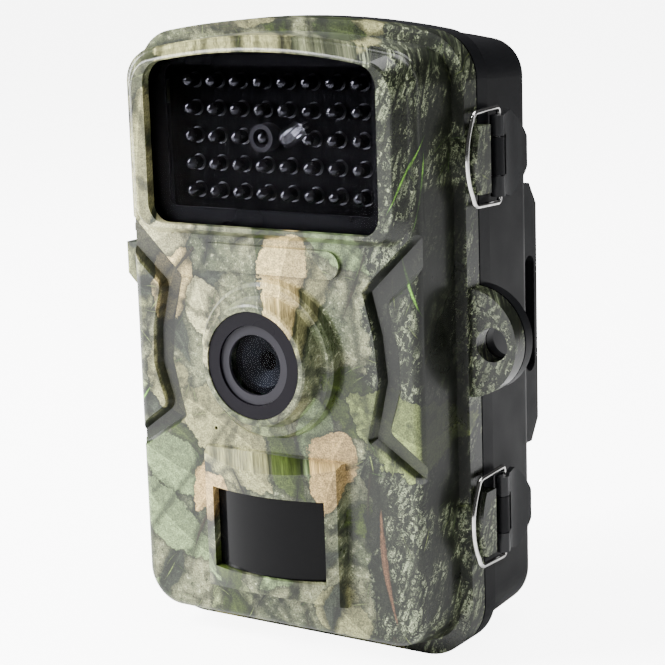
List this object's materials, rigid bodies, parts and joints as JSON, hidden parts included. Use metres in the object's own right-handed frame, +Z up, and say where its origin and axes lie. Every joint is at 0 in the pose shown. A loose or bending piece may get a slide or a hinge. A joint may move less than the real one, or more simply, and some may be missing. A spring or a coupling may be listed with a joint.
{
  "type": "trail camera",
  "caption": "Weatherproof trail camera with an infrared flash, lens, motion sensor, hinged door with latches, inner controls and a tree bracket.",
  "frame": {"origin": "centre of the tripod socket's mouth, in the plane the case stands on", "axes": "+Z up, +Y towards the back bracket, +X to the right seen from the front"},
  "size_m": [0.103, 0.0622, 0.1404],
  "materials": {
    "case_black": "satin moulded ABS",
    "seal_silicone": "soft silicone",
    "inner_plastic": "fine matte",
    "cell_wrap": "printed film sleeve over steel",
    "contact_steel": "nickel plated",
    "brass": "turned",
    "steel": "zinc plated",
    "connector_black": "moulded",
    "plug_rubber": "matte rubber",
    "lever_plastic": "satin",
    "wire_steel": "bright drawn wire",
    "camo_shell": "dipped leaf and bark camouflage film, semi-gloss",
    "smoked_window": "clear acrylic, lightly smoked",
    "mask_black": "printed border",
    "board_black": "solder mask",
    "led_resin": "tinted resin",
    "sleeve_grey": "moulded",
    "clear_resin": "clear resin",
    "bezel_black": "satin black",
    "trim_grey": "satin grey",
    "lens_glass": "coated glass",
    "barrel_black": "anodised black",
    "filter_glass": "infrared blocking glass",
    "coil_copper": "wound coil",
    "chip": "glass topped chip",
    "board_green": "solder mask",
    "fresnel_black": "polished polyethylene lens",
    "display": "glass",
    "display_window": "clear acrylic",
    "knob_plastic": "moulded",
    "card_plastic": "moulded",
    "panel_plastic": "fine matte",
    "key_rubber": "silicone"
  },
  "bodies": {
    "case": {"rear_shell": "case_black", "gasket": "seal_silicone", "battery_tray": "inner_plastic", "aa_cells": "cell_wrap", "cell_contacts": "contact_steel", "cell_springs": "contact_steel", "battery_cover": "inner_plastic", "tripod_insert": "brass", "tree_bracket": "case_black", "bracket_screws": "steel", "hinge_pins": "steel", "latch_pins": "steel", "dc_jack": "connector_black"},
    "door": {"front_shell": "camo_shell", "ir_window": "smoked_window", "window_mask": "mask_black", "ir_board": "board_black", "ir_leds": "led_resin", "status_led": "led_resin", "sensor_sleeve": "sleeve_grey", "light_sensor": "clear_resin", "sensor_leads": "wire_steel", "lens_bezel": "bezel_black", "lens_trim": "trim_grey", "cover_glass": "lens_glass", "lens_barrel": "barrel_black", "lens_elements": "lens_glass", "lens_holder": "barrel_black", "ir_cut_coil": "coil_copper", "image_sensor": "chip", "camera_board": "board_green", "pir_window": "fresnel_black", "pir_sensor": "steel", "pir_board": "board_green", "microphone": "seal_silicone", "main_board": "board_green", "board_screws": "steel", "lcd_module": "display", "lcd_window": "display_window", "tact_switches": "steel", "power_switch": "connector_black", "sd_socket": "contact_steel", "usb_port": "contact_steel", "speaker": "barrel_black", "inner_panel": "panel_plastic", "panel_screws": "steel"},
    "plug": {"port_plug": "plug_rubber"},
    "lever_upper": {"latch_lever_upper": "lever_plastic"},
    "lever_lower": {"latch_lever_lower": "lever_plastic"},
    "bail_upper": {"bail_upper": "wire_steel"},
    "bail_lower": {"bail_lower": "wire_steel"},
    "power_knob": {"power_knob": "knob_plastic"},
    "card": {"sd_card": "card_plastic"},
    "ir_cut": {"ir_cut_filter": "filter_glass"},
    "key_menu": {"key_menu": "key_rubber"},
    "key_up": {"key_up": "key_rubber"},
    "key_down": {"key_down": "key_rubber"},
    "key_left": {"key_left": "key_rubber"},
    "key_right": {"key_right": "key_rubber"},
    "key_ok": {"key_ok": "key_rubber"}
  },
  "joints": [
    {"name": "door_hinge", "type": "hinge", "parent": "case", "child": "door", "pos_m": [-0.0468, -0.01635, 0.0702], "axis": [0, 0, -1], "range_deg": [0, 175]},
    {"name": "lever_upper_pivot", "type": "hinge", "parent": "case", "child": "lever_upper", "pos_m": [0.0446, -0.0116, 0.1108], "axis": [0, 0, -1], "range_deg": [0, 135]},
    {"name": "bail_upper_pivot", "type": "hinge", "parent": "lever_upper", "child": "bail_upper", "pos_m": [0.044, -0.0096, 0.1108], "axis": [0, 0, 1], "range_deg": [0, 176]},
    {"name": "lever_lower_pivot", "type": "hinge", "parent": "case", "child": "lever_lower", "pos_m": [0.0446, -0.0116, 0.0317], "axis": [0, 0, -1], "range_deg": [0, 135]},
    {"name": "bail_lower_pivot", "type": "hinge", "parent": "lever_lower", "child": "bail_lower", "pos_m": [0.044, -0.0096, 0.0317], "axis": [0, 0, 1], "range_deg": [0, 176]},
    {"name": "plug_pull", "type": "slide", "parent": "case", "child": "plug", "axis": [0, 0, -1], "range_m": [0, 0.005]},
    {"name": "key_menu_press", "type": "slide", "parent": "door", "child": "key_menu", "axis": [0, -1, 0], "range_m": [0, 0.00025], "stiffness_N_per_m": 6400},
    {"name": "key_up_press", "type": "slide", "parent": "door", "child": "key_up", "axis": [0, -1, 0], "range_m": [0, 0.00025], "stiffness_N_per_m": 6400},
    {"name": "key_down_press", "type": "slide", "parent": "door", "child": "key_down", "axis": [0, -1, 0], "range_m": [0, 0.00025], "stiffness_N_per_m": 6400},
    {"name": "key_left_press", "type": "slide", "parent": "door", "child": "key_left", "axis": [0, -1, 0], "range_m": [0, 0.00025], "stiffness_N_per_m": 6400},
    {"name": "key_right_press", "type": "slide", "parent": "door", "child": "key_right", "axis": [0, -1, 0], "range_m": [0, 0.00025], "stiffness_N_per_m": 6400},
    {"name": "key_ok_press", "type": "slide", "parent": "door", "child": "key_ok", "axis": [0, -1, 0], "range_m": [0, 0.00025], "stiffness_N_per_m": 6400},
    {"name": "power_slide", "type": "slide", "parent": "door", "child": "power_knob", "axis": [1, 0, 0], "range_m": [0, 0.008]},
    {"name": "card_slide", "type": "slide", "parent": "door", "child": "card", "axis": [0, 0, -1], "range_m": [0, 0.012]},
    {"name": "ir_cut_slide", "type": "slide", "parent": "door", "child": "ir_cut", "axis": [1, 0, 0], "range_m": [0, 0.003]}
  ],
  "couplings": [
    {"joint": "bail_upper_pivot", "follows": "lever_upper_pivot", "ratio": 1.3},
    {"joint": "bail_lower_pivot", "follows": "lever_lower_pivot", "ratio": 1.3}
  ]
}
